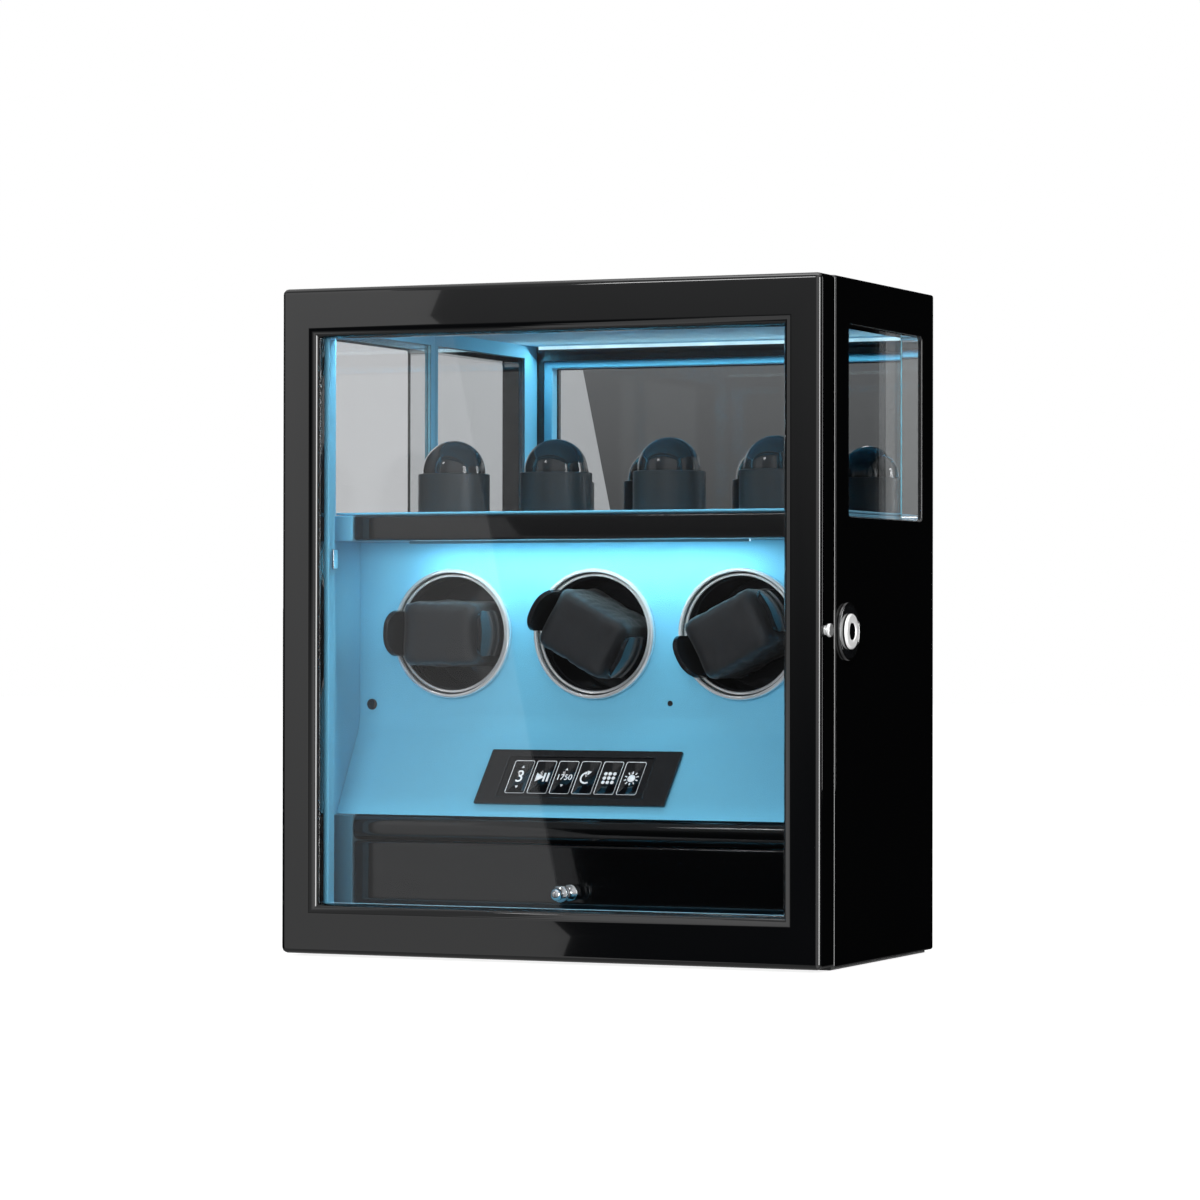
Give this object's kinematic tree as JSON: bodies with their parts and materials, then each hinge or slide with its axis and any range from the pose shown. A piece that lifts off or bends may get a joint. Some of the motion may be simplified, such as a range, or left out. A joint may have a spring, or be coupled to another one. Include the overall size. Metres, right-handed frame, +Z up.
{
  "type": "watch winder cabinet",
  "caption": "Glazed lacquered cabinet with motor-driven watch rotors, display stands on a shelf, a touch console and a drawer.",
  "frame": {"origin": "centre of the underside of the base felt", "axes": "+X to the right seen from the front, +Y from the door to the back, +Z up"},
  "size_m": [0.3559, 0.194, 0.4],
  "materials": {
    "lacquer": "piano black gloss lacquer",
    "lining": "pale blue leatherette lining",
    "gloss_black": "gloss",
    "chrome": "polished",
    "glass": "clear, lightly smoked",
    "mirror": "silvered",
    "light_bar": "frosted, lit",
    "felt": "felt",
    "cushion": "soft leatherette",
    "steel": "satin",
    "nylon": "moulded",
    "board": "painted board",
    "screen": "gloss touch glass"
  },
  "bodies": {
    "case": {"case_bottom": "lacquer", "case_top": "lacquer", "case_left_side": "lacquer", "case_right_side": "lacquer", "case_back": "lacquer", "left_window_glass": "glass", "right_window_glass": "glass", "base_felt": "felt", "dc_inlet": "gloss_black", "display_mirror": "mirror", "display_shelf": "lining", "shelf_nosing": "lacquer", "shelf_mat": "lining", "display_light_bar": "light_bar", "watch_stand_1": "gloss_black", "watch_stand_2": "gloss_black", "watch_stand_3": "gloss_black", "watch_stand_4": "gloss_black", "winder_panel": "lining", "receiver_lens": "gloss_black", "winder_light_bar": "light_bar", "control_bezel": "gloss_black", "control_screen": "screen", "drive_plate": "board", "divider": "lacquer", "left_cheek": "lining", "right_cheek": "lining", "lock_body": "gloss_black", "lock_sensor_ring": "chrome", "lower_hinge_case_leaf": "steel", "upper_hinge_case_leaf": "steel", "rotor_1_bezel": "chrome", "rotor_1_motor": "steel", "rotor_2_bezel": "chrome", "rotor_2_motor": "steel", "rotor_3_bezel": "chrome", "rotor_3_motor": "steel"},
    "door": {"door_frame": "lacquer", "door_glass": "glass", "glass_retainer": "lining", "door_pull": "chrome", "strike_plate": "chrome", "lower_hinge_door_leaf": "steel", "upper_hinge_door_leaf": "steel"},
    "drawer": {"drawer_front": "lacquer", "drawer_tray": "lining", "drawer_knob": "chrome"},
    "latch": {"latch_bolt": "chrome"},
    "rotor_1": {"rotor_1_cup": "gloss_black"},
    "cushion_1": {"rotor_1_cushion_frame": "gloss_black", "rotor_1_cushion_pad": "cushion"},
    "pinion_1": {"rotor_1_pinion": "nylon"},
    "rotor_2": {"rotor_2_cup": "gloss_black"},
    "cushion_2": {"rotor_2_cushion_frame": "gloss_black", "rotor_2_cushion_pad": "cushion"},
    "pinion_2": {"rotor_2_pinion": "nylon"},
    "rotor_3": {"rotor_3_cup": "gloss_black"},
    "cushion_3": {"rotor_3_cushion_frame": "gloss_black", "rotor_3_cushion_pad": "cushion"},
    "pinion_3": {"rotor_3_pinion": "nylon"}
  },
  "joints": [
    {"name": "door_hinge", "type": "hinge", "parent": "case", "child": "door", "pos_m": [-0.1762, -0.0744, 0.2], "axis": [0, 0, -1], "range_deg": [0, 110]},
    {"name": "drawer_slide", "type": "slide", "parent": "case", "child": "drawer", "axis": [0, -1, 0], "range_m": [0, 0.1]},
    {"name": "latch_slide", "type": "slide", "parent": "case", "child": "latch", "axis": [0, -1, 0], "range_m": [0, 0.006]},
    {"name": "rotor_1_spin", "type": "hinge", "parent": "case", "child": "rotor_1", "pos_m": [-0.0943, 0, 0.1935], "axis": [0, 1, 0], "continuous": true},
    {"name": "pinion_1_spin", "type": "hinge", "parent": "case", "child": "pinion_1", "pos_m": [-0.0943, 0, 0.1615], "axis": [0, 1, 0], "continuous": true},
    {"name": "cushion_1_pull", "type": "slide", "parent": "rotor_1", "child": "cushion_1", "axis": [0, -1, 0], "range_m": [0, 0.025]},
    {"name": "rotor_2_spin", "type": "hinge", "parent": "case", "child": "rotor_2", "pos_m": [0, 0, 0.1935], "axis": [0, 1, 0], "continuous": true},
    {"name": "pinion_2_spin", "type": "hinge", "parent": "case", "child": "pinion_2", "pos_m": [0, 0, 0.1615], "axis": [0, 1, 0], "continuous": true},
    {"name": "cushion_2_pull", "type": "slide", "parent": "rotor_2", "child": "cushion_2", "axis": [0, -1, 0], "range_m": [0, 0.025]},
    {"name": "rotor_3_spin", "type": "hinge", "parent": "case", "child": "rotor_3", "pos_m": [0.0943, 0, 0.1935], "axis": [0, 1, 0], "continuous": true},
    {"name": "pinion_3_spin", "type": "hinge", "parent": "case", "child": "pinion_3", "pos_m": [0.0943, 0, 0.1615], "axis": [0, 1, 0], "continuous": true},
    {"name": "cushion_3_pull", "type": "slide", "parent": "rotor_3", "child": "cushion_3", "axis": [0, -1, 0], "range_m": [0, 0.025]}
  ],
  "couplings": [
    {"joint": "drawer_slide", "follows": "door_hinge", "m_per_rad": 0.052},
    {"joint": "pinion_1_spin", "follows": "rotor_1_spin", "ratio": -3},
    {"joint": "pinion_2_spin", "follows": "rotor_2_spin", "ratio": -3},
    {"joint": "pinion_3_spin", "follows": "rotor_3_spin", "ratio": -3}
  ]
}
